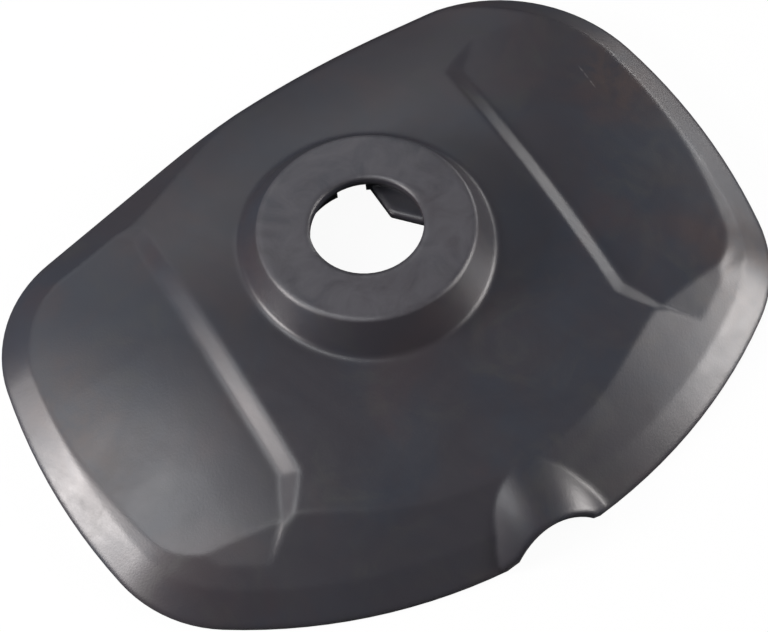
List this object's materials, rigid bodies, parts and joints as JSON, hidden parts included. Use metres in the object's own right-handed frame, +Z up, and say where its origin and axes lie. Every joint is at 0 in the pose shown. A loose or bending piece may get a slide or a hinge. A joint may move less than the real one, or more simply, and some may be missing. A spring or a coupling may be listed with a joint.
{
  "type": "trimmer guard",
  "caption": "Shallow moulded guard with bevelled rim, stepped end panels, a leaning round hub with a shaft hole and an arched notch in the front edge.",
  "frame": {"origin": "middle of the footprint, on the plane that the rim stands on", "axes": "+Z up; +X along the long way of the guard, to the right when the arched notch faces the viewer; +Y from the notched front edge to the rear edge"},
  "size_m": [0.239, 0.1792, 0.0351],
  "materials": {
    "guard": "satin black moulded surface with faint bloom and scuffs"
  },
  "bodies": {
    "root": {"guard": "guard"}
  },
  "joints": []
}
